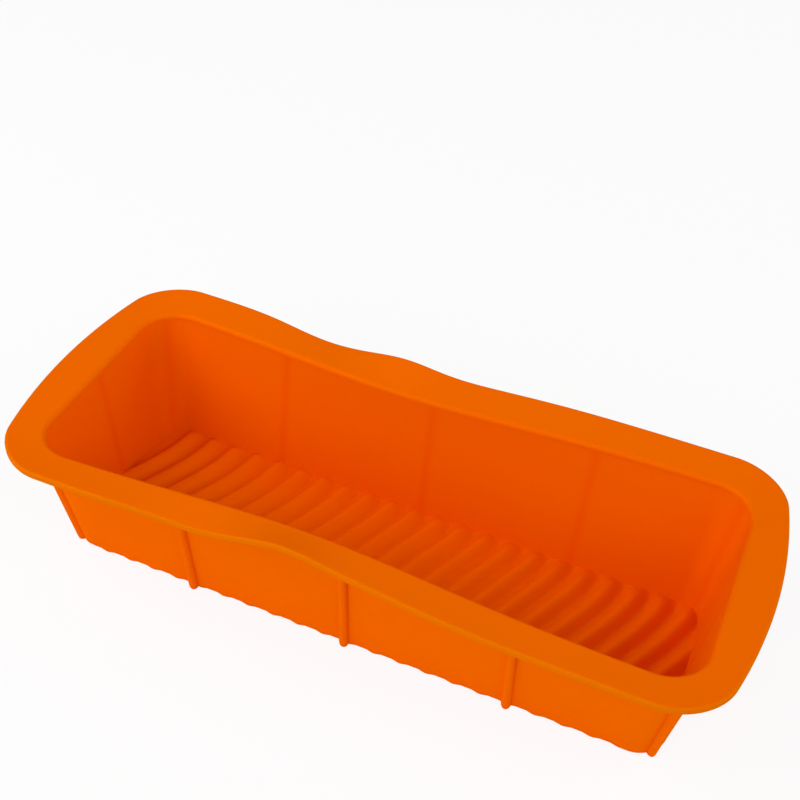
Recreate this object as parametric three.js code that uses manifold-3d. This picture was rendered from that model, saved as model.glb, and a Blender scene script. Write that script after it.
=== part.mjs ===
// Silicone loaf pan: a flanged rim, drafted walls and a floor of wavy ridges, all one moulding.
// It is parted here into the zones of that moulding, each a closed solid of its own.
// Millimetres, +Z up, X along the pan, -Y at the front, origin under the middle of the base.

import * as THREE from 'three';
import { mergeVertices } from 'three/addons/utils/BufferGeometryUtils.js';
import Module from 'manifold-3d';

const wasm = await Module();
wasm.setup();

// Rim flange
const rimLength = 290;
const rimWidth = 126;
const rimThickness = 3.2;
const rimCornerRadius = 18.5;
const rimEndBulge = 9.6;
const rimRise = 2.2;
const lipRadius = 2.2;

// Opening inside the flange, and the height of its lip
const panHeight = 60.7;
const endFlangeWidth = 15.8;
const sideFlangeWidth = 14.7;
const openingCornerRadius = 16;

// Walls and floor
const wallThickness = 2.2;
const floorThickness = 2.2;
const endDraft = 7;
const sideDraft = 11;
const floorCornerRadius = 9;
const floorEndBulge = 2;
const footRadius = 2.6;
const sharpestCorner = 0.6;

// Waist of the long sides, longer and softer at the opening than at the flange's edge
const waistCentre = -15.5;
const rimWaistDepth = 5.9;
const rimWaistReach = 54;
const openingWaistDepth = 6.5;
const openingWaistReach = 69;

// Finger wave in the outer edge of the long flanges: a hump, and a shallow dip to its left
const humpHeight = 2.9;
const humpCentre = -17.5;
const humpReach = 16;
const dipDepth = 2.1;
const dipCentre = -54.5;
const dipReach = 19;

// Ridges across the floor, and the flat land left between two of them
const ridgeCount = 23;
const ridgeLand = 2.6;
const ridgeHeight = 3.4;
const ridgeOffset = -2.9;
const ridgeEndGap = 2;
const ridgeEndRun = 4;
const ridgeSwayShare = 1.16;
const ridgeEndRunShare = 0.3;

// Upright ribs and corner beads outside
const ribSpacing = 66.7;
const ribWidth = 3.4;
const ribProud = 1.8;
const beadWidth = 3.6;
const beadProud = 1.7;

// Clearance between zones that don't meet on a level or upright plane
const seam = 0.3;

// How far a cutter runs past what it cuts
const overrun = 1;

// Where the corner zones start, inside the shortest straight run
const cornerMargin = 2;

// How finely curves are divided
const sideSteps = 24;
const endSteps = 8;
const cornerSteps = 6;
const ridgeMiddleSteps = 5;
const ridgeSearchSteps = 240;

const ridgeEndShares = [0, 0.3, 1];
const ridgeRiseShares = [0.45, 0.85, 1];
const profileShares = [-1, -0.5, 0, 0.5, 1];

const silicone = { color: 0xe45c00, roughness: 0.46, metalness: 0 };

const rimTop = panHeight;
const rimUnder = panHeight - rimThickness;
const floorTop = floorThickness;
const edgeRadius = rimThickness / 2;
const lipAngles = [0, 45, 90].map(THREE.MathUtils.degToRad);
const edgeAngles = [90, 45, 0, -45, -90].map(THREE.MathUtils.degToRad);
const footAngles = [0, 35, 70].map(THREE.MathUtils.degToRad);
const footToe = footRadius * (1 - Math.cos(footAngles.at(-1)));
const underFlat = wallThickness + ribProud + beadProud;

// Outlines: rounded rectangles whose ends bulge and whose long sides are waisted
const rimOutline = {
  halfLength: rimLength / 2 - rimEndBulge,
  halfWidth: rimWidth / 2,
  cornerRadius: rimCornerRadius,
  bulge: rimEndBulge,
  waist: rimWaistDepth,
  waistReach: rimWaistReach,
};
const openingOutline = {
  halfLength: rimLength / 2 - endFlangeWidth,
  halfWidth: rimWidth / 2 - sideFlangeWidth,
  cornerRadius: openingCornerRadius,
  bulge: 0,
  waist: openingWaistDepth,
  waistReach: openingWaistReach,
};
const floorOutline = {
  halfLength: openingOutline.halfLength - endDraft,
  halfWidth: openingOutline.halfWidth - sideDraft,
  cornerRadius: floorCornerRadius,
  bulge: floorEndBulge,
  waist: 0,
  waistReach: openingWaistReach,
};

// Each ridge sways a little over one pitch either way, and its width is what the lands leave
const ridgePitch = (2 * (floorOutline.halfLength - ridgeEndGap)) / (ridgeCount - 1);
const ridgeWidth = ridgePitch - ridgeLand;
const ridgeSway = ridgeSwayShare * ridgePitch;

const outlines = [rimOutline, openingOutline, floorOutline];
const seamX = Math.min(...outlines.map((o) => o.halfLength - o.cornerRadius)) - cornerMargin;
const seamY = Math.min(...outlines.map((o) => o.halfWidth - o.cornerRadius)) - cornerMargin;

function bell(offset, reach) {
  return Math.exp(-((offset / reach) ** 2));
}

// How far the flange's outer edge stands above the lip
function lift(x) {
  const wave = humpHeight * bell(x - humpCentre, humpReach) - dipDepth * bell(x - dipCentre, dipReach);
  return rimRise + wave;
}

// The same outline, pushed outwards by a distance
function grown(outline, distance) {
  return {
    ...outline,
    halfLength: outline.halfLength + distance,
    halfWidth: outline.halfWidth + distance,
    cornerRadius: Math.max(outline.cornerRadius + distance, sharpestCorner),
  };
}

// The wall's inner outline at a share of the way from the floor to the flange
function wallInside(share) {
  const outline = {};
  for (const key of Object.keys(floorOutline)) {
    outline[key] = THREE.MathUtils.lerp(floorOutline[key], openingOutline[key], share);
  }
  return outline;
}

function wallOutsideAt(z) {
  const share = THREE.MathUtils.clamp((z - floorTop) / (rimUnder - floorTop), 0, 1);
  return grown(wallInside(share), wallThickness);
}

function sideY(outline, x) {
  return outline.halfWidth - outline.waist * bell(x - waistCentre, outline.waistReach);
}

function endX(outline, y) {
  return outline.halfLength + outline.bulge * (1 - (y / outline.halfWidth) ** 2);
}

// A point of the corner, from its place on the plain rounded rectangle
function cornerPoint(outline, x, y, signX, signY) {
  const fade = (y - seamY) / (outline.halfWidth - seamY);
  const waist = outline.waist * bell(signX * x - waistCentre, outline.waistReach) * fade;
  const bulge = outline.bulge * (1 - (y / outline.halfWidth) ** 2);
  return [signX * (x + bulge), signY * (y - waist)];
}

// The four kinds of run round the pan: each gives the points of an outline, anticlockwise
function sideRun(signY) {
  return (outline) => {
    const points = [];
    for (let i = 0; i <= sideSteps; i += 1) {
      const x = -signY * THREE.MathUtils.lerp(-seamX, seamX, i / sideSteps);
      points.push([x, signY * sideY(outline, x)]);
    }
    return points;
  };
}

function endRun(signX) {
  return (outline) => {
    const points = [];
    for (let i = 0; i <= endSteps; i += 1) {
      const y = signX * THREE.MathUtils.lerp(-seamY, seamY, i / endSteps);
      points.push([signX * endX(outline, y), y]);
    }
    return points;
  };
}

function cornerRun(signX, signY) {
  return (outline) => {
    const { halfLength, halfWidth, cornerRadius } = outline;
    const points = [cornerPoint(outline, seamX, halfWidth, signX, signY)];
    for (let i = 0; i <= cornerSteps; i += 1) {
      const angle = (Math.PI / 2) * (1 - i / cornerSteps);
      const x = halfLength - cornerRadius * (1 - Math.cos(angle));
      const y = halfWidth - cornerRadius * (1 - Math.sin(angle));
      points.push(cornerPoint(outline, x, y, signX, signY));
    }
    points.push(cornerPoint(outline, halfLength, seamY, signX, signY));
    return signX * signY > 0 ? points.reverse() : points;
  };
}

const runs = {
  front: sideRun(-1),
  corner_front_right: cornerRun(1, -1),
  right: endRun(1),
  corner_back_right: cornerRun(1, 1),
  back: sideRun(1),
  corner_back_left: cornerRun(-1, 1),
  left: endRun(-1),
  corner_front_left: cornerRun(-1, -1),
};

// End faces: a fan round one corner of the section, or a strip between the two faces of a sheet
function fanCap(count, hub) {
  const triangles = [];
  for (let i = 1; i < count - 1; i += 1) {
    triangles.push([hub, (hub + i) % count, (hub + i + 1) % count]);
  }
  return triangles;
}

function sheetCap(count) {
  const triangles = [];
  for (let i = 0; i < count / 2 - 1; i += 1) {
    const across = count - 1 - i;
    triangles.push([i, i + 1, across - 1], [i, across - 1, across]);
  }
  return triangles;
}

// Joins closed sections, one after another, into a solid with its faces outwards
function loft(sections, cap) {
  const count = sections[0].length;
  const last = (sections.length - 1) * count;
  const triangles = [];
  for (let k = 0; k < sections.length - 1; k += 1) {
    for (let i = 0; i < count; i += 1) {
      const a = k * count + i;
      const b = k * count + ((i + 1) % count);
      triangles.push([a, b, b + count], [a, b + count, a + count]);
    }
  }
  for (const [a, b, c] of cap) {
    triangles.push([a, c, b], [last + a, last + b, last + c]);
  }
  const points = sections.flat().map(([x, y, z]) => new THREE.Vector3(x, y, z));
  let volume = 0;
  for (const [a, b, c] of triangles) {
    volume += points[a].dot(new THREE.Vector3().crossVectors(points[b], points[c]));
  }
  const facing = volume < 0 ? triangles.map(([a, b, c]) => [a, c, b]) : triangles;
  const geometry = new THREE.BufferGeometry().setFromPoints(points);
  geometry.setIndex(facing.flat());
  geometry.computeVertexNormals();
  return geometry;
}

// Carries a section made of rings along one run of the pan. The hub sees the whole section
function ringLoft(rings, run) {
  const paths = rings.map((ring) => run(ring.outline));
  const sections = paths[0].map((_, station) =>
    rings.map((ring, i) => {
      const [x, y] = paths[i][station];
      return [x, y, ring.z + ring.lifted * lift(x)];
    }),
  );
  return loft(sections, fanCap(rings.length, rings.findIndex((ring) => ring.hub)));
}

const group = new THREE.Group();
group.name = 'silicone_loaf_pan';

function addPiece(name, geometry) {
  const mesh = new THREE.Mesh(geometry, new THREE.MeshStandardMaterial(silicone));
  mesh.name = name;
  group.add(mesh);
}

// Flange: a lip round the opening, a flat top, a round outer edge and a flat underside
function flangeRings() {
  const rings = [{ outline: openingOutline, z: rimUnder, lifted: 0 }];
  for (const angle of lipAngles) {
    const inset = lipRadius * (1 - Math.cos(angle));
    const drop = lipRadius * (1 - Math.sin(angle));
    rings.push({ outline: grown(openingOutline, inset), z: rimTop - drop, lifted: 0 });
  }
  rings.at(-1).hub = true;
  for (const angle of edgeAngles) {
    const inset = edgeRadius * (1 - Math.cos(angle));
    const drop = edgeRadius * (1 - Math.sin(angle));
    rings.push({ outline: grown(rimOutline, -inset), z: rimTop - drop, lifted: 1 });
  }
  rings.push({ outline: grown(openingOutline, underFlat), z: rimUnder, lifted: 0 });
  return rings;
}

// Wall: drafted inside and out, with a fillet at its foot, standing on the floor panel
function wallRings() {
  const rings = [{ outline: openingOutline, z: rimUnder, lifted: 0 }];
  for (const angle of footAngles) {
    const rise = footRadius * (1 - Math.sin(angle));
    const inset = footRadius * (1 - Math.cos(angle));
    const share = rise / (rimUnder - floorTop);
    rings.push({ outline: grown(wallInside(share), -inset), z: floorTop + rise, lifted: 0 });
  }
  rings.push({ outline: grown(floorOutline, -footToe), z: floorTop, lifted: 0 });
  rings.push({ outline: grown(floorOutline, wallThickness), z: floorTop, lifted: 0, hub: true });
  rings.push({ outline: grown(openingOutline, wallThickness), z: rimUnder, lifted: 0 });
  return rings;
}

for (const [place, run] of Object.entries(runs)) {
  addPiece(`rim_${place}`, ringLoft(flangeRings(), run));
  addPiece(`wall_${place}`, ringLoft(wallRings(), run));
}

// Ridges: each waves once across the floor, and the ones at the ends stop at the end walls
const ridgeLimit = grown(floorOutline, -footToe - 2 * seam);
const ridgeReach = ridgeLimit.halfWidth;

function ridgeX(start, y) {
  return start + ridgeSway * Math.sin(((Math.PI / 2) * y) / ridgeReach);
}

function limitX(y) {
  const { halfLength, halfWidth, cornerRadius } = ridgeLimit;
  const past = Math.max(0, Math.abs(y) - (halfWidth - cornerRadius));
  const rounding = cornerRadius - Math.sqrt(Math.max(0, cornerRadius ** 2 - past ** 2));
  return endX(ridgeLimit, y) - rounding;
}

// Stations along one ridge as [y, rise share], over the stretch that the end walls leave free
function ridgeStations(start) {
  const free = [];
  for (let i = 0; i <= ridgeSearchSteps; i += 1) {
    const y = THREE.MathUtils.lerp(-ridgeReach, ridgeReach, i / ridgeSearchSteps);
    if (Math.abs(ridgeX(start, y)) + ridgeWidth / 2 + seam <= limitX(y)) {
      free.push(y);
    }
  }
  const low = free[0];
  const high = free.at(-1);
  const endRun = Math.min(ridgeEndRun, ridgeEndRunShare * (high - low));
  const ends = ridgeEndShares.map((share, i) => [share * endRun, ridgeRiseShares[i]]);
  const stations = ends.map(([run, rise]) => [low + run, rise]);
  for (let i = 1; i < ridgeMiddleSteps; i += 1) {
    const share = i / ridgeMiddleSteps;
    stations.push([THREE.MathUtils.lerp(low + endRun, high - endRun, share), 1]);
  }
  return stations.concat(ends.map(([run, rise]) => [high - run, rise]).reverse());
}

// The sheet rises and falls together on both faces, so the ridge is hollow beneath
function ridgeGeometry(start, stations) {
  const sections = stations.map(([y, rise]) => {
    const arch = profileShares.map((share) => {
      const height = ridgeHeight * rise * Math.cos((Math.PI / 2) * share) ** 2;
      return [ridgeX(start, y) + (share * ridgeWidth) / 2, y, height];
    });
    const upper = arch.map(([x, , z]) => [x, y, z + floorTop]);
    return upper.concat(arch.reverse());
  });
  return loft(sections, sheetCap(2 * profileShares.length));
}

// The slot that a ridge fills in the floor panel
function ridgeSlot(start, stations) {
  const half = ridgeWidth / 2 + seam;
  const ys = stations.map(([y]) => y);
  ys[0] -= seam;
  ys[ys.length - 1] += seam;
  const left = ys.map((y) => new THREE.Vector2(ridgeX(start, y) - half, y));
  const right = ys.map((y) => new THREE.Vector2(ridgeX(start, y) + half, y));
  return new THREE.Shape(left.concat(right.reverse()));
}

// A flat plate between two levels, ready to be cut
function plateSolid(shape, low, high) {
  const plate = new THREE.ExtrudeGeometry(shape, { depth: high - low, bevelEnabled: false });
  plate.translate(0, 0, low);
  plate.deleteAttribute('normal');
  plate.deleteAttribute('uv');
  const merged = mergeVertices(plate);
  const mesh = new wasm.Mesh({
    numProp: 3,
    vertProperties: merged.attributes.position.array,
    triVerts: new Uint32Array(merged.index.array),
  });
  return new wasm.Manifold(mesh);
}

function solidGeometry(solid) {
  const { vertProperties, triVerts } = solid.getMesh();
  const geometry = new THREE.BufferGeometry();
  geometry.setAttribute('position', new THREE.BufferAttribute(vertProperties, 3));
  geometry.setIndex(new THREE.BufferAttribute(triVerts, 1));
  geometry.computeVertexNormals();
  return geometry;
}

// Floor panel: straight along the sides, so only its corners and ends have points
function panelShape() {
  const outline = grown(floorOutline, wallThickness);
  const points = [];
  for (const [place, run] of Object.entries(runs)) {
    if (place.startsWith('corner')) {
      points.push(...run(outline).slice(1, -1));
    } else if (place === 'left' || place === 'right') {
      points.push(...run(outline));
    }
  }
  return new THREE.Shape(points.map(([x, y]) => new THREE.Vector2(x, y)));
}

let panel = plateSolid(panelShape(), 0, floorTop);
for (let i = 0; i < ridgeCount; i += 1) {
  const start = ridgeOffset + (i - (ridgeCount - 1) / 2) * ridgePitch;
  const stations = ridgeStations(start);
  panel = panel.subtract(plateSolid(ridgeSlot(start, stations), -overrun, floorTop + overrun));
  const label = String(i + 1).padStart(2, '0');
  addPiece(`floor_ridge_${label}`, ridgeGeometry(start, stations));
}
addPiece('floor_panel', solidGeometry(panel));

// Ribs and beads: a half-round section that follows the wall's outer face up to the flange
function uprightGeometry(width, proud, place) {
  const levels = [0, floorTop, rimUnder - seam];
  const sections = levels.map((z) => {
    const outline = wallOutsideAt(z);
    return profileShares.map((share) => {
      const out = seam + proud * Math.cos((Math.PI / 2) * share);
      const [x, y] = place(outline, (share * width) / 2, out);
      return [x, y, z];
    });
  });
  return loft(sections, fanCap(profileShares.length, 0));
}

const ribPlaces = { left: -ribSpacing, middle: 0, right: ribSpacing };
for (const [label, ribX] of Object.entries(ribPlaces)) {
  for (const [side, sign] of [['front', -1], ['back', 1]]) {
    const place = (outline, across, out) => {
      const x = ribX + across;
      return [x, sign * (sideY(outline, x) + out)];
    };
    addPiece(`side_rib_${side}_${label}`, uprightGeometry(ribWidth, ribProud, place));
  }
}

for (const [side, sign] of [['left', -1], ['right', 1]]) {
  const place = (outline, across, out) => [sign * (endX(outline, across) + out), across];
  addPiece(`end_rib_${side}`, uprightGeometry(ribWidth, ribProud, place));
}

for (const [depth, signY] of [['front', -1], ['back', 1]]) {
  for (const [side, signX] of [['left', -1], ['right', 1]]) {
    const diagonal = Math.SQRT1_2;
    const place = (outline, across, out) => {
      const round = outline.cornerRadius * (1 - diagonal);
      const x = outline.halfLength - round;
      const y = outline.halfWidth - round;
      const [cornerX, cornerY] = cornerPoint(outline, x, y, signX, signY);
      return [cornerX + signX * diagonal * (out + across), cornerY + signY * diagonal * (out - across)];
    };
    addPiece(`corner_bead_${depth}_${side}`, uprightGeometry(beadWidth, beadProud, place));
  }
}

export default group;
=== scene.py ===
# Silicone loaf pan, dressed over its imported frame. Metres, +Z up, X along the pan, -Y at the front.

import math

import bpy
import numpy as np
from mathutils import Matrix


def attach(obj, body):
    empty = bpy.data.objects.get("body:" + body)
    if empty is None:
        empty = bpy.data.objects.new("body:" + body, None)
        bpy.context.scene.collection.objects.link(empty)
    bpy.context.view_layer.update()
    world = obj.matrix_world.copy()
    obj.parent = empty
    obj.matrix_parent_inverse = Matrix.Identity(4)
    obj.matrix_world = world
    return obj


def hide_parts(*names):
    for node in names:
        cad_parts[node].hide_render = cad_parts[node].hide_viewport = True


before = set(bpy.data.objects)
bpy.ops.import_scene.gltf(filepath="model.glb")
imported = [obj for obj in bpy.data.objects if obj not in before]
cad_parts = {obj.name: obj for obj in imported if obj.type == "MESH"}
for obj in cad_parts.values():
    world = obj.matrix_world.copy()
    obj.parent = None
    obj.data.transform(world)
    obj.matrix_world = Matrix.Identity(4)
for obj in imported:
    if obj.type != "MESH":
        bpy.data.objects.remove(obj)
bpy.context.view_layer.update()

# Rim flange. The pan is one moulding of silicone rubber, pressed between two mould halves, and its
# rim is a flat flange with a soft lip round the opening and a round outer edge. Rim, walls and
# floor share one section, carried round the pan in one go, so that they meet without a seam.

MM = 0.001
PAN_HEIGHT = 60.7 * MM
RIM_THICKNESS = 3.2 * MM
RIM_UNDER = PAN_HEIGHT - RIM_THICKNESS
LIP_RADIUS = 2.2 * MM
EDGE_RADIUS = 0.9 * MM
NECK_RADIUS = 1.4 * MM
WALL = 2.2 * MM
FLOOR = 2.2 * MM
FOOT_RADIUS = 0.06 * MM
SOLE_RADIUS = 1.9 * MM

# Outlines in plan: half length, half width, corner radius, end bulge, shares of the two waists
LENGTH, WIDTH, RADIUS, BULGE, _, OPENING_SHARE = range(6)
RIM_OUTLINE = np.array([135.4 * MM, 62.95 * MM, 18.5 * MM, 9.6 * MM, 1.0, 0.0])
OPENING_OUTLINE = np.array([129.2 * MM, 48.3 * MM, 16.0 * MM, 0.0, 0.0, 1.0])
FLOOR_OUTLINE = np.array([122.2 * MM, 37.3 * MM, 9.0 * MM, 2.0 * MM, 0.0, 0.0])
GROW = np.array([1.0, 1.0, 1.0, 0.0, 0.0, 0.0])

# Waists of the long sides and waves of the flange's edge: depth, centre and reach of each bell
EDGE_WAIST = np.array([[5.58, -11.3, 48.6], [1.36, -64.0, 22.8]]) * MM
OPENING_WAIST = np.array([[6.5, -15.9, 69.2]]) * MM
EDGE_WAVE = np.array([[2.83, -17.9, 17.1], [-2.21, -54.1, 20.7]]) * MM
EDGE_RISE = 2.2 * MM
WAIST_MARGIN = 2.0 * MM
BULGE_STEEPNESS = 40

# Steps round the pan: along a long side, along an end and on each half of a corner
SIDE_STEPS = 480
END_STEPS = 48
CORNER_STEPS = 16
END_CROWDING = 1.3


def bells(x, table):
    """Sum of bells: depth times e to the minus square of (x - centre) / reach."""
    return sum(depth * np.exp(-(((x - centre) / reach) ** 2)) for depth, centre, reach in table)


def round_frame():
    """Unit places round a rounded rectangle: the corner centre's shares and the outward direction.

    Each quarter starts half way round one corner, follows the straight side and ends half way round
    the next corner. The four quarters are the front, the right, the back and the left. On the ends
    the places crowd towards the middle, by a power of their distance from it."""
    parts = []
    for quarter, steps in enumerate((SIDE_STEPS, END_STEPS, SIDE_STEPS, END_STEPS)):
        middle = (quarter - 1) * math.pi / 2
        turn = np.concatenate([
            np.linspace(-math.pi / 4, 0, CORNER_STEPS, endpoint=False),
            np.zeros(steps),
            np.linspace(0, math.pi / 4, CORNER_STEPS, endpoint=False),
        ])
        run = np.linspace(-1, 1, steps, endpoint=False)
        if steps == END_STEPS:
            run = np.sign(run) * np.abs(run) ** END_CROWDING
        along = np.concatenate([-np.ones(CORNER_STEPS), run, np.ones(CORNER_STEPS)])
        out = np.array([math.cos(middle), math.sin(middle)])
        side = np.array([-out[1], out[0]])
        centre = out[None, :] + along[:, None] * side[None, :]
        angle = middle + turn
        parts.append(np.column_stack([centre, np.cos(angle), np.sin(angle)]))
    return np.vstack(parts).T


CENTRE_X, CENTRE_Y, OUT_X, OUT_Y = round_frame()
AROUND = len(CENTRE_X)


def last_part(share, steepness):
    """A straight rise to one over the last part of a share, which is one over the steepness."""
    return np.clip(share * steepness - (steepness - 1), 0, 1)


def plan(outlines):
    """Plan points of outlines, one row each: a rounded rectangle whose ends bulge by a parabola of
    y and whose long sides come in by the bells of x, which fade out across the ends."""
    length, width, radius, bulge, edge_share, opening_share = np.moveaxis(outlines, -1, 0)
    x = CENTRE_X * (length - radius) + radius * OUT_X
    y = CENTRE_Y * (width - radius) + radius * OUT_Y
    waist = edge_share * bells(x, EDGE_WAIST) + opening_share * bells(x, OPENING_WAIST)
    still = FLOOR_OUTLINE[WIDTH] - FLOOR_OUTLINE[RADIUS] - WAIST_MARGIN
    fade = np.clip((np.abs(y) - still) / (width - still), 0, 1)
    bulging = bulge * (1 - (y / width) ** 2) * last_part(np.abs(CENTRE_X), BULGE_STEEPNESS)
    return x + np.sign(x) * bulging, y - np.sign(y) * waist * fade


def wall_line(z):
    """The wall's inner outline at heights z: straight from the floor's outline to the opening's."""
    share = np.clip((z - FLOOR) / (RIM_UNDER - FLOOR), 0, 1)[..., None]
    return FLOOR_OUTLINE + share * (OPENING_OUTLINE - FLOOR_OUTLINE)


def arc(first, last, steps):
    """Angles of an arc in degrees, as radians."""
    return np.radians(np.linspace(first, last, steps))


# The section, from the toe of the inner foot up and over the rim to the underside: outlines,
# heights and the share of the edge's wave that each row takes, a power of the way out
FOOT_ROWS, WALL_ROWS, MOUTH_ROWS, LIP_ROWS, TOP_ROWS = 4, 16, 3, 9, 14
EDGE_ROWS, UNDER_ROWS, NECK_ROWS, SOLE_ROWS = 14, 8, 5, 8
WAVE_POWER = 1.15
sections = []


def add_rows(outlines, heights, wave=0.0):
    """Adds rows to the section, and returns the number of rows that it has so far."""
    heights = np.atleast_1d(heights)
    wave = np.broadcast_to(wave, heights.shape)
    sections.append((np.broadcast_to(outlines, (len(heights), len(GROW))), heights, wave))
    return sum(len(part[1]) for part in sections)


foot = arc(0, 84, FOOT_ROWS)
foot_z = FLOOR + FOOT_RADIUS * (1 - np.cos(foot))
foot_inset = FOOT_RADIUS * (1 - np.sin(foot))
add_rows(wall_line(foot_z) - foot_inset[:, None] * GROW, foot_z)
wall_z = np.linspace(foot_z[-1], RIM_UNDER, WALL_ROWS)[1:]
mouth_row = add_rows(wall_line(wall_z), wall_z) - 1
add_rows(OPENING_OUTLINE, np.linspace(RIM_UNDER, PAN_HEIGHT - LIP_RADIUS, MOUTH_ROWS)[1:])
lip = arc(0, 90, LIP_ROWS)[1:]
lip_z = PAN_HEIGHT - LIP_RADIUS * (1 - np.sin(lip))
lip_inset = LIP_RADIUS * (1 - np.cos(lip))
add_rows(OPENING_OUTLINE + lip_inset[:, None] * GROW, lip_z)
inner_top = OPENING_OUTLINE + LIP_RADIUS * GROW
outer_top = RIM_OUTLINE - EDGE_RADIUS * GROW
top_run = np.linspace(0, 1, TOP_ROWS)[1:-1]
top_line = inner_top + top_run[:, None] * (outer_top - inner_top)
add_rows(top_line, np.full(len(top_run), PAN_HEIGHT), top_run**WAVE_POWER)
edge = arc(90, -90, EDGE_ROWS)
edge_middle = np.where(edge > 0, PAN_HEIGHT - EDGE_RADIUS, RIM_UNDER + EDGE_RADIUS)
edge_inset = EDGE_RADIUS * (1 - np.cos(edge))
edge_line = RIM_OUTLINE - edge_inset[:, None] * GROW
edge_end = add_rows(edge_line, edge_middle + EDGE_RADIUS * np.sin(edge), 1.0)
under = OPENING_OUTLINE + (WALL + NECK_RADIUS) * GROW
under_run = np.linspace(1, 0, UNDER_ROWS)[1:-1]
under_line = under + under_run[:, None] * (outer_top - under)
add_rows(under_line, np.full(len(under_run), RIM_UNDER), under_run**WAVE_POWER)
neck = arc(0, 90, NECK_ROWS)
neck_z = RIM_UNDER - NECK_RADIUS * (1 - np.cos(neck))
neck_out = WALL + NECK_RADIUS * (1 - np.sin(neck))
neck_row = add_rows(wall_line(neck_z) + neck_out[:, None] * GROW, neck_z) - 1
outer_z = np.linspace(neck_z[-1], FLOOR, WALL_ROWS)[1:]
sole_row = add_rows(wall_line(outer_z) + WALL * GROW, outer_z) - 1
sole = arc(0, 90, SOLE_ROWS)
sole_z = SOLE_RADIUS * (1 - np.sin(sole))
sole_out = WALL - SOLE_RADIUS * (1 - np.cos(sole))
add_rows(FLOOR_OUTLINE + sole_out[:, None] * GROW, sole_z)

outlines, heights, wave = (np.concatenate(part) for part in zip(*sections))
rows = len(heights)
grid_x, grid_y = plan(outlines[:, None])
grid_z = heights[:, None] + wave[:, None] * (EDGE_RISE + bells(grid_x, EDGE_WAVE))

# Ridges of the floor: rounded fingers that sway across the pan in an S and are hollow beneath. The
# bow is given by its depth, its centre and reach along x, and its centre and reach along y. The run
# and the drop of a ridge's tips are given for the left and the right end of the pan
RIDGES = 23
RIDGE_PITCH = 10.93 * MM
RIDGE_START = -123.1 * MM
RIDGE_SWAY = 13.4 * MM
RIDGE_LEAN = -0.3 * MM
SWAY_REACH = 42.0 * MM
RIDGE_BOW = np.array([2.2, 18.0, 48.0, 14.0, 15.0]) * MM
RIDGE_HALF = 5.2 * MM
RIDGE_HEIGHT = 3.7 * MM
RIDGE_FULLNESS = 0.7
TIP_RUN = np.array([4.0, 11.0]) * MM
TIP_DROP = np.array([0.4, 0.85])
TIP_MIDDLE, TIP_SLOPE = 0.5, 0.7


def ridge_arch(x, y):
    """Share of a ridge's height: a wave of the distance from the crest line, from one at the crest
    to nothing at the ridge's foot. The crest line sways by the sine of y, and bows a little more
    behind the middle of the pan, by a bell of x and y. Its tips drop by a parabola, which grows
    longer and deeper towards the right end."""
    turn = np.sin(math.pi / 2 * np.clip(y / SWAY_REACH, -1, 1))
    bow, middle_x, reach_x, middle_y, reach_y = RIDGE_BOW
    bowed = bow * np.exp(-(((x - middle_x) / reach_x) ** 2) - ((y - middle_y) / reach_y) ** 2)
    start = RIDGE_START + RIDGE_SWAY * turn + RIDGE_LEAN * turn**2 - bowed
    number = np.clip(np.round((x - start) / RIDGE_PITCH), 0, RIDGES - 1)
    off = np.abs(x - start - number * RIDGE_PITCH)
    right = np.clip(TIP_MIDDLE + TIP_SLOPE * x / FLOOR_OUTLINE[LENGTH], 0, 1) ** 2
    run = TIP_RUN[0] + right * (TIP_RUN[1] - TIP_RUN[0])
    drop = TIP_DROP[0] + right * (TIP_DROP[1] - TIP_DROP[0])
    tip = drop * np.clip((np.abs(y) - FLOOR_OUTLINE[WIDTH] + run) / run, 0, 1) ** 2
    swell = 0.5 + 0.5 * np.cos(math.pi * np.clip(off / RIDGE_HALF, 0, 1))
    return (1 - tip) * swell**RIDGE_FULLNESS


# The wall's lower rows climb over the ends of the ridges, and the climb fades out with height
CLIMB = 12.0 * MM
climbing = slice(0, mouth_row + 1)
toe_inset = (wall_line(heights[climbing]) - outlines[climbing])[:, None]
climb = np.clip(1 - (heights[climbing] - foot_z[-1]) / CLIMB, 0, 1)[:, None]
climb_arch = ridge_arch(grid_x[climbing], grid_y[climbing])
climb_z = heights[climbing, None] + climb * RIDGE_HEIGHT * climb_arch
grid_x[climbing], grid_y[climbing] = plan(wall_line(climb_z) - toe_inset)
grid_z[climbing] = climb_z

# The round sole of the long sides is notched where the hollow of a ridge runs out
SCALLOP_HEIGHT = 0.75 * MM
LOW_REACH = 30.0 * MM
NOTCH_STEEPNESS = 8
sole_rows = slice(rows - len(sole), rows)
side_share = last_part(np.abs(OUT_Y), NOTCH_STEEPNESS)
notch_arch = ridge_arch(grid_x[sole_rows], np.clip(grid_y[sole_rows], -LOW_REACH, LOW_REACH))
notch = SCALLOP_HEIGHT * side_share * notch_arch
grid_x[sole_rows] -= OUT_X * notch * np.cos(sole)[:, None]
grid_y[sole_rows] -= OUT_Y * notch * np.cos(sole)[:, None]
grid_z[sole_rows] += notch * np.sin(sole)[:, None]


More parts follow.
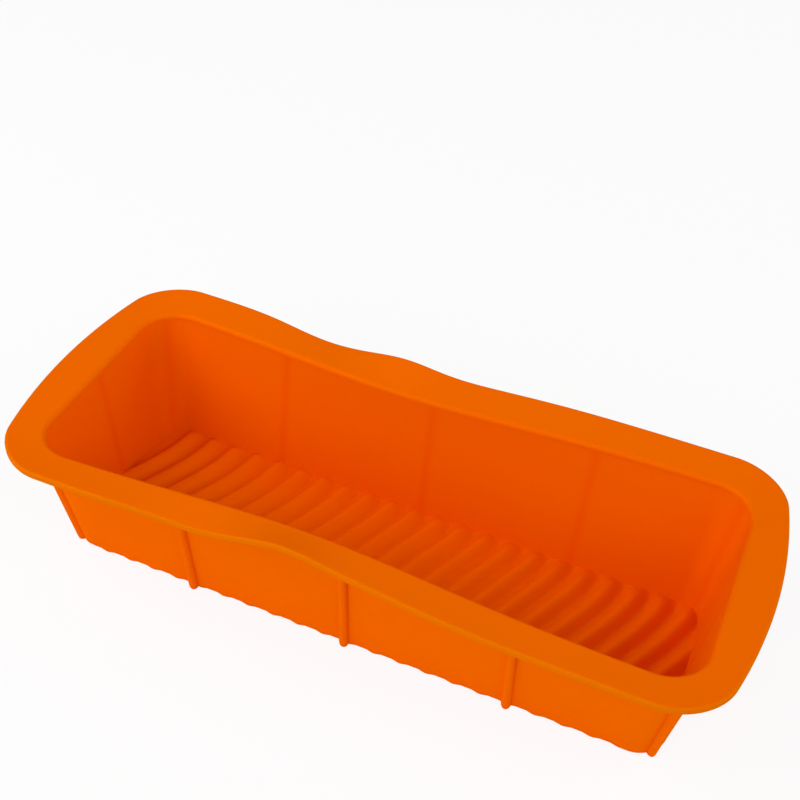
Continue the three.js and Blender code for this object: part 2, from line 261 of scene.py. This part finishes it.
def sheet_grid(row, x, y):
    """A sheet inside a closed row: each point blends the row's four quarters, as a Coons patch.
    Its vertex numbers are those of the row on its border, and minus one inside."""
    across, deep = SIDE_STEPS + 2 * CORNER_STEPS, END_STEPS + 2 * CORNER_STEPS
    ring = np.arange(AROUND)
    front = ring[: across + 1]
    right = ring[across: across + deep + 1]
    back = ring[across + deep: 2 * across + deep + 1][::-1]
    left = np.append(ring[2 * across + deep:], 0)[::-1]
    u = np.linspace(0, 1, across + 1)[None, :]
    v = np.linspace(0, 1, deep + 1)[:, None]
    made = []
    for value in (x, y):
        sides = (1 - v) * value[front][None, :] + v * value[back][None, :]
        ends = (1 - u) * value[left][:, None] + u * value[right][:, None]
        low = (1 - u) * value[front[0]] + u * value[front[-1]]
        high = (1 - u) * value[back[0]] + u * value[back[-1]]
        made.append(sides + ends - (1 - v) * low - v * high)
    index = np.full((deep + 1, across + 1), -1)
    index[0], index[-1], index[:, 0], index[:, -1] = front, back, left, right
    return made[0], made[1], index + row * AROUND * (index >= 0)


def with_sheet(points, x, y, z, index):
    """The points with a sheet's inner points after them, whose numbers are set in its grid."""
    inside = index < 0
    index[inside] = len(points) + np.arange(inside.sum())
    return np.vstack([points, np.stack([x, y, z], -1)[inside]])


def quads(index):
    """Quads between the neighbouring rows and columns of a grid of vertex numbers."""
    corners = [index[:-1, :-1], index[:-1, 1:], index[1:, 1:], index[1:, :-1]]
    return np.stack(corners, -1).reshape(-1, 4)


points = np.stack([grid_x, grid_y, grid_z], -1).reshape(-1, 3)
ring_index = np.arange(rows * AROUND).reshape(rows, AROUND)
ring_index = np.hstack([ring_index, ring_index[:, :1]])

# The floor's upper side fills the section's first row, and its underside fills the last. Beneath,
# the hollows are lower near the long sides, by a smooth step of y, and run out at the ends
top_x, top_y, top_index = sheet_grid(0, grid_x[0], grid_y[0])
top_z = FLOOR + RIDGE_HEIGHT * ridge_arch(top_x, top_y)
points = with_sheet(points, top_x, top_y, top_z, top_index)

low_x, low_y, low_index = sheet_grid(rows - 1, grid_x[-1], grid_y[-1])
hold = np.clip((np.abs(low_y) - LOW_REACH) / (FLOOR_OUTLINE[WIDTH] - LOW_REACH), 0, 1)
hold = hold * hold * (3 - 2 * hold)
end_room = np.clip((FLOOR_OUTLINE[LENGTH] - np.abs(low_x)) / FLOOR_OUTLINE[RADIUS], 0, 1)
low_height = ((1 - hold) * RIDGE_HEIGHT + hold * SCALLOP_HEIGHT) * end_room
low_z = low_height * ridge_arch(low_x, np.clip(low_y, -LOW_REACH, LOW_REACH))
points = with_sheet(points, low_x, low_y, low_z, low_index)

ring_quads = quads(ring_index)[:, ::-1]
top_quads = quads(top_index)
low_quads = quads(low_index)[:, ::-1]


def skin_normals(points, faces):
    """Vertex normals of the whole moulding: the sum of the face normals, weighted by area."""
    corner = points[faces]
    normal = np.cross(corner[:, 2] - corner[:, 0], corner[:, 3] - corner[:, 1])
    total = np.zeros_like(points)
    for i in range(4):
        np.add.at(total, faces[:, i], normal)
    return total / np.linalg.norm(total, axis=1)[:, None]


normals = skin_normals(points, np.vstack([ring_quads, top_quads, low_quads]))

# Where a rib or a bead backs the wall, the rubber is thicker, and the inner wall is painted darker
# there by a bell: painted shade of the light that shines less through the thicker rubber
RIB_SPACING = 66.7 * MM
LINE_WIDTH = 1.9 * MM
CORNER_LINE_WIDTH = 2.4 * MM
LINE_FADE = 1.0 * MM
SIDE_BAND = 8.0 * MM
END_BAND = 1.0 * MM
DIAGONAL = math.sqrt(0.5)


def rib_shade_lines(points):
    """Share of painted shade where the rubber is thicker: bells of the distance from the middle line
    of each rib and bead.
    """
    x, y, z = points.T
    outline = wall_line(z)
    end_room = outline[:, LENGTH] - np.abs(x)
    side_room = outline[:, WIDTH] - np.abs(y)
    across = np.abs(x - RIB_SPACING * np.clip(np.round(x / RIB_SPACING), -1, 1))
    lines = np.exp(-((across / LINE_WIDTH) ** 2)) * (side_room < SIDE_BAND)
    lines += np.exp(-((y / LINE_WIDTH) ** 2)) * (end_room < END_BAND)
    off = (end_room - side_room) * DIAGONAL
    corner = (end_room < outline[:, RADIUS]) & (side_room < outline[:, RADIUS])
    lines += np.exp(-((off / CORNER_LINE_WIDTH) ** 2)) * corner
    return np.clip(lines, 0, 1) * np.clip((RIM_UNDER + LINE_FADE - z) / LINE_FADE, 0, 1)


# painted shade: the inner wall's rows are darker where less light shines through behind ribs and
# beads
through_shade = np.zeros(len(points), np.float32)
inner = np.arange((mouth_row + 1) * AROUND)
through_shade[inner] = rib_shade_lines(points[inner])

# The flange's round outer edge gets a painted highlight: it is drawn a little paler, most where it
# faces outwards
EDGE_HIGHLIGHT_FULLNESS = 1.6
edge_highlight = np.zeros(len(points), np.float32)
edge_points = slice((edge_end - len(edge)) * AROUND, edge_end * AROUND)
edge_highlight[edge_points] = np.repeat(np.minimum(EDGE_HIGHLIGHT_FULLNESS * np.cos(edge), 1), AROUND)

PALE_RUBBER = (0.865, 0.127, 0.0, 1.0)
RICH_RUBBER = (0.885, 0.137, 0.0, 1.0)
# painted shade colour, for the inner wall behind ribs and beads
THROUGH_SHADE_RUBBER = (0.865, 0.112, 0.0, 1.0)
# painted highlight colour, for the flange's outer edge
EDGE_HIGHLIGHT_RUBBER = (0.75, 0.147, 0.0, 1.0)
AMBER_GLOSS = (0.7, 0.5, 0.0, 1.0)


def silicone(name):
    """Satin silicone rubber. The body is matt: its colour drifts a little from place to place,
    is darkened by painted shade where the rubber is thicker behind ribs and beads, and has a painted
    highlight, a little paler, on the flange's outer edge. Over it lies a thin amber gloss, stronger
    at a slant, with a fine mould grain."""
    material = bpy.data.materials.new(name)
    material.use_nodes = True
    nodes, links = material.node_tree.nodes, material.node_tree.links
    body = nodes["Principled BSDF"]
    body.inputs["Specular IOR Level"].default_value = 0.0
    body.inputs["Roughness"].default_value = 0.6
    place = nodes.new("ShaderNodeTexCoord")
    drift = nodes.new("ShaderNodeTexNoise")
    drift.inputs["Scale"].default_value = 22.0
    drift.inputs["Detail"].default_value = 3.0
    links.new(place.outputs["Object"], drift.inputs["Vector"])
    shade = nodes.new("ShaderNodeMix")
    shade.data_type = "RGBA"
    shade.inputs["A"].default_value = PALE_RUBBER
    shade.inputs["B"].default_value = RICH_RUBBER
    links.new(drift.outputs["Fac"], shade.inputs["Factor"])
    colour = shade.outputs["Result"]
    # painted shade behind ribs and beads, then a painted highlight on the flange's outer edge
    for share, tint in (("through_shade", THROUGH_SHADE_RUBBER), ("edge_highlight", EDGE_HIGHLIGHT_RUBBER)):
        reading = nodes.new("ShaderNodeAttribute")
        reading.attribute_name = share
        tinted = nodes.new("ShaderNodeMix")
        tinted.data_type = "RGBA"
        tinted.inputs["B"].default_value = tint
        links.new(reading.outputs["Fac"], tinted.inputs["Factor"])
        links.new(colour, tinted.inputs["A"])
        colour = tinted.outputs["Result"]
    links.new(colour, body.inputs["Base Color"])
    grain = nodes.new("ShaderNodeTexNoise")
    grain.inputs["Scale"].default_value = 1400.0
    grain.inputs["Detail"].default_value = 4.0
    links.new(place.outputs["Object"], grain.inputs["Vector"])
    relief = nodes.new("ShaderNodeBump")
    relief.inputs["Strength"].default_value = 0.12
    relief.inputs["Distance"].default_value = 0.02 * MM
    links.new(grain.outputs["Fac"], relief.inputs["Height"])
    links.new(relief.outputs["Normal"], body.inputs["Normal"])
    gloss = nodes.new("ShaderNodeBsdfGlossy")
    gloss.inputs["Color"].default_value = AMBER_GLOSS
    worn = nodes.new("ShaderNodeMapRange")
    worn.inputs["To Min"].default_value = 0.30
    worn.inputs["To Max"].default_value = 0.42
    links.new(grain.outputs["Fac"], worn.inputs["Value"])
    links.new(worn.outputs["Result"], gloss.inputs["Roughness"])
    links.new(relief.outputs["Normal"], gloss.inputs["Normal"])
    slant = nodes.new("ShaderNodeLayerWeight")
    slant.inputs["Blend"].default_value = 0.3
    sheen = nodes.new("ShaderNodeMapRange")
    sheen.inputs["To Min"].default_value = 0.012
    sheen.inputs["To Max"].default_value = 0.06
    links.new(slant.outputs["Facing"], sheen.inputs["Value"])
    coat = nodes.new("ShaderNodeMixShader")
    links.new(sheen.outputs["Result"], coat.inputs["Fac"])
    links.new(body.outputs["BSDF"], coat.inputs[1])
    links.new(gloss.outputs["BSDF"], coat.inputs[2])
    links.new(coat.outputs["Shader"], nodes["Material Output"].inputs["Surface"])
    return material


pan_silicone = silicone("pan_silicone")


def put_in(name, mesh, stands_for):
    """Puts a mesh into the scene as a silicone piece that stands for some nodes of the frame."""
    mesh.materials.append(pan_silicone)
    piece = bpy.data.objects.new(name, mesh)
    bpy.context.scene.collection.objects.link(piece)
    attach(piece, "root")
    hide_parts(*stands_for)


def add_piece(name, faces, stands_for):
    """A closed piece made of some of the moulding's faces, with its normals and shares."""
    used, packed = np.unique(faces, return_inverse=True)
    mesh = bpy.data.meshes.new(name)
    mesh.from_pydata(points[used].tolist(), [], packed.reshape(faces.shape).tolist())
    mesh.polygons.foreach_set("use_smooth", np.ones(len(faces), bool))
    mesh.normals_split_custom_set_from_vertices(normals[used].tolist())
    # point shares of painted shade and of the flange edge's painted highlight
    for share, values in (("through_shade", through_shade), ("edge_highlight", edge_highlight)):
        mesh.attributes.new(share, "FLOAT", "POINT").data.foreach_set("value", values[used])
    put_in(name, mesh, stands_for)


def nodes_of(start):
    """The frame's nodes whose names begin with a start."""
    return [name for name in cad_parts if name.startswith(start)]


def band(first, last):
    """Quads of the section's rows from first to last."""
    return quads(ring_index[first: last + 1])[:, ::-1]


def joint_quads(first, last):
    """The hidden strip where two parted pieces meet, from one row of the section to another."""
    return quads(np.stack([ring_index[first], ring_index[last]]))[:, ::-1]


rim_faces = np.vstack([band(mouth_row, neck_row), joint_quads(neck_row, mouth_row)])
add_piece("rim_flange", rim_faces, nodes_of("rim_"))

# Walls. Thin drafted walls hang from the flange, waisted along the sides, and meet the floor in a
# small foot inside and a round sole outside.

wall_faces = np.vstack([
    band(0, mouth_row),
    joint_quads(mouth_row, neck_row),
    band(neck_row, sole_row),
    joint_quads(sole_row, 0),
])
add_piece("pan_walls", wall_faces, nodes_of("wall_"))

# Floor. A thin sheet whose ridges rise inside and leave hollows beneath, closed by the round sole.
# The hollows run out to the long sides, where they show as a waved bottom edge.

floor_faces = np.vstack([top_quads, joint_quads(0, sole_row), band(sole_row, rows - 1), low_quads])
add_piece("ridged_floor", floor_faces, nodes_of("floor_"))

# Ribs and corner beads. Half-round strips moulded on the outside of the walls, which keep them
# upright. They start in the angle under the flange, and their rounded feet reach down to the sole.

RIB_WIDTH, RIB_PROUD = 4.0 * MM, 2.4 * MM
BEAD_WIDTH, BEAD_PROUD = 3.4 * MM, 2.4 * MM
STRIP_TOP = RIM_UNDER - 0.2 * MM
STRIP_ROOT = 1.2 * MM
STRIP_FOOT = 3.0 * MM
STRIP_TIP = 0.4
STRIP_ROWS, STRIP_FOOT_ROWS, STRIP_COLUMNS = 14, 8, 13


def upright(name, place, width, proud, outward):
    """A half-round strip carried down the wall: its crown is a cosine of the place across it. It
    runs from under the flange to the sole, where its foot rounds off by a quarter circle and
    narrows."""
    foot_z = STRIP_FOOT * np.cos(arc(0, 90, STRIP_FOOT_ROWS))[1:]
    down = np.concatenate([np.linspace(STRIP_TOP, STRIP_FOOT, STRIP_ROWS), foot_z])
    round_off = np.sqrt(1 - (1 - np.clip(down / STRIP_FOOT, 0, 1)) ** 2)
    full = (STRIP_TIP + (1 - STRIP_TIP) * round_off)[:, None]
    turn = arc(-90, 90, STRIP_COLUMNS)
    crown = full * proud * np.cos(turn)
    out = np.pad(crown, ((0, 0), (1, 1)), constant_values=-STRIP_ROOT)
    span = full * width * np.pad(0.5 * np.sin(turn), 1, mode="edge")
    z = np.broadcast_to(down[:, None], out.shape)
    grid = np.stack([*place(z, span, out), z], -1)
    index = np.arange(z.size).reshape(z.shape)
    caps = [index[0].tolist(), index[-1][::-1].tolist()]
    faces = quads(np.hstack([index, index[:, :1]])).tolist() + caps
    if outward > 0:
        faces = [face[::-1] for face in faces]
    mesh = bpy.data.meshes.new(f"{name}_strip")
    mesh.from_pydata(grid.reshape(-1, 3).tolist(), [], faces)
    mesh.polygons.foreach_set("use_smooth", np.arange(len(faces)) < len(faces) - len(caps))
    put_in(f"{name}_strip", mesh, [name])


def side_place(rib_x, sign):
    """Places a strip on a long wall: across along x, out along y from the waisted outer face."""
    def place(z, span, out):
        line = wall_line(z) + WALL * GROW
        x = rib_x + span
        waist = line[..., OPENING_SHARE] * bells(x, OPENING_WAIST)
        return x, sign * (line[..., WIDTH] - waist + out)
    return place


def end_place(sign):
    """Places a strip on an end wall: across along y, out along x from the bulging outer face."""
    def place(z, span, out):
        line = wall_line(z) + WALL * GROW
        bulging = line[..., BULGE] * (1 - (span / line[..., WIDTH]) ** 2)
        return sign * (line[..., LENGTH] + bulging + out), span
    return place


def corner_place(sign_x, sign_y):
    """Places a strip on a corner: out along the diagonal from the middle of the corner's arc."""
    def place(z, span, out):
        line = wall_line(z) + WALL * GROW
        inset = line[..., RADIUS] * (1 - DIAGONAL)
        y = line[..., WIDTH] - inset
        x = line[..., LENGTH] - inset + line[..., BULGE] * (1 - (y / line[..., WIDTH]) ** 2)
        return sign_x * (x + DIAGONAL * (out + span)), sign_y * (y + DIAGONAL * (out - span))
    return place


for label, rib_x in (("left", -RIB_SPACING), ("middle", 0.0), ("right", RIB_SPACING)):
    for side, sign in (("front", -1), ("back", 1)):
        upright(f"side_rib_{side}_{label}", side_place(rib_x, sign), RIB_WIDTH, RIB_PROUD, -sign)
for side, sign in (("left", -1), ("right", 1)):
    upright(f"end_rib_{side}", end_place(sign), RIB_WIDTH, RIB_PROUD, sign)
for depth, sign_y in (("front", -1), ("back", 1)):
    for side, sign_x in (("left", -1), ("right", 1)):
        bead_place = corner_place(sign_x, sign_y)
        bead_turn = -sign_x * sign_y
        upright(f"corner_bead_{depth}_{side}", bead_place, BEAD_WIDTH, BEAD_PROUD, bead_turn)

# Studio. A white paper floor that keeps a soft shadow, an even sky and six broad round lamps. The
# camera and the gloss see floor and sky as white paper. The paper lies just under the pan's sole.

PAPER_COLOUR = (0.88, 0.88, 0.88, 1)
PAPER_WHITE_SHARE = 0.88
PAPER_HALF = 4.0
PAPER_Z = -0.05 * MM
SKY_STRENGTH = 0.38


def white_share(nodes, links, share):
    """The share of white that camera, glossy and transmission rays see."""
    ray = nodes.new("ShaderNodeLightPath")
    shiny = nodes.new("ShaderNodeMath")
    shiny.operation = "MAXIMUM"
    seen = nodes.new("ShaderNodeMath")
    seen.operation = "MAXIMUM"
    lit = nodes.new("ShaderNodeMath")
    lit.operation = "MULTIPLY"
    lit.inputs[1].default_value = share
    links.new(ray.outputs["Is Glossy Ray"], shiny.inputs[0])
    links.new(ray.outputs["Is Transmission Ray"], shiny.inputs[1])
    links.new(shiny.outputs[0], seen.inputs[0])
    links.new(ray.outputs["Is Camera Ray"], seen.inputs[1])
    links.new(seen.outputs[0], lit.inputs[0])
    return lit.outputs[0]


paper_corners = [
    (-PAPER_HALF, -PAPER_HALF, PAPER_Z),
    (PAPER_HALF, -PAPER_HALF, PAPER_Z),
    (PAPER_HALF, PAPER_HALF, PAPER_Z),
    (-PAPER_HALF, PAPER_HALF, PAPER_Z),
]
floor_mesh = bpy.data.meshes.new("studio_floor")
floor_mesh.from_pydata(paper_corners, [], [(0, 1, 2, 3)])
studio_floor = bpy.data.objects.new("studio_floor", floor_mesh)
bpy.context.scene.collection.objects.link(studio_floor)
paper = bpy.data.materials.new("studio_paper")
paper.use_nodes = True
nodes, links = paper.node_tree.nodes, paper.node_tree.links
sheet = nodes["Principled BSDF"]
sheet.inputs["Base Color"].default_value = PAPER_COLOUR
sheet.inputs["Roughness"].default_value = 0.9
sheet.inputs["Specular IOR Level"].default_value = 0.0
white = nodes.new("ShaderNodeEmission")
blend = nodes.new("ShaderNodeMixShader")
links.new(white_share(nodes, links, PAPER_WHITE_SHARE), blend.inputs["Fac"])
links.new(sheet.outputs["BSDF"], blend.inputs[1])
links.new(white.outputs["Emission"], blend.inputs[2])
links.new(blend.outputs["Shader"], nodes["Material Output"].inputs["Surface"])
floor_mesh.materials.append(paper)

world = bpy.data.worlds.new("studio_sky")
bpy.context.scene.world = world
world.use_nodes = True
nodes, links = world.node_tree.nodes, world.node_tree.links
sky = nodes["Background"]
sky.inputs["Color"].default_value = (1, 1, 1, 1)
sky.inputs["Strength"].default_value = SKY_STRENGTH
plain = nodes.new("ShaderNodeBackground")
plain.inputs["Color"].default_value = (1, 1, 1, 1)
blend = nodes.new("ShaderNodeMixShader")
links.new(white_share(nodes, links, 1.0), blend.inputs["Fac"])
links.new(sky.outputs["Background"], blend.inputs[1])
links.new(plain.outputs["Background"], blend.inputs[2])
links.new(blend.outputs["Shader"], nodes["World Output"].inputs["Surface"])


def lamp(name, azimuth, elevation, power, distance=2.0, size=1.3):
    """A round area lamp that faces the origin from a distance, at two angles in degrees."""
    turn, rise = math.radians(azimuth), math.radians(elevation)
    away = distance * math.cos(rise)
    data = bpy.data.lights.new(name, "AREA")
    data.shape = "DISK"
    data.size = size
    data.energy = power
    holder = bpy.data.objects.new(name, data)
    holder.location = (away * math.cos(turn), away * math.sin(turn), distance * math.sin(rise))
    holder.rotation_euler = (math.pi / 2 - rise, 0, turn + math.pi / 2)
    bpy.context.scene.collection.objects.link(holder)


lamp("left_lamp", 210, 42, 4.1, distance=1.2, size=0.8)
lamp("front_lamp", 256, 33, 5.9, distance=1.4, size=0.9)
lamp("front_right_lamp", 330, 40, 5.8)
lamp("right_lamp", 0, 22, 6.2)
lamp("back_right_lamp", 45, 22, 7.2)
lamp("low_left_lamp", 180, 20, 4.6)

# Camera. It looks down on the pan from the front right, as in the photograph. Its place, turn, lens
# and shifts were fitted to the lower of the two pans there.

camera_data = bpy.data.cameras.new("camera")
camera_data.sensor_width = 36
camera_data.lens = 54.362
camera_data.shift_x = 0.03392
camera_data.shift_y = 0.10042
camera = bpy.data.objects.new("camera", camera_data)
camera.location = (0.11529, -0.30506, 0.37647)
camera.rotation_euler = (0.790666, -0.037961, 0.420433)
bpy.context.scene.collection.objects.link(camera)
bpy.context.scene.camera = camera

bpy.context.scene.view_settings.view_transform = "Standard"
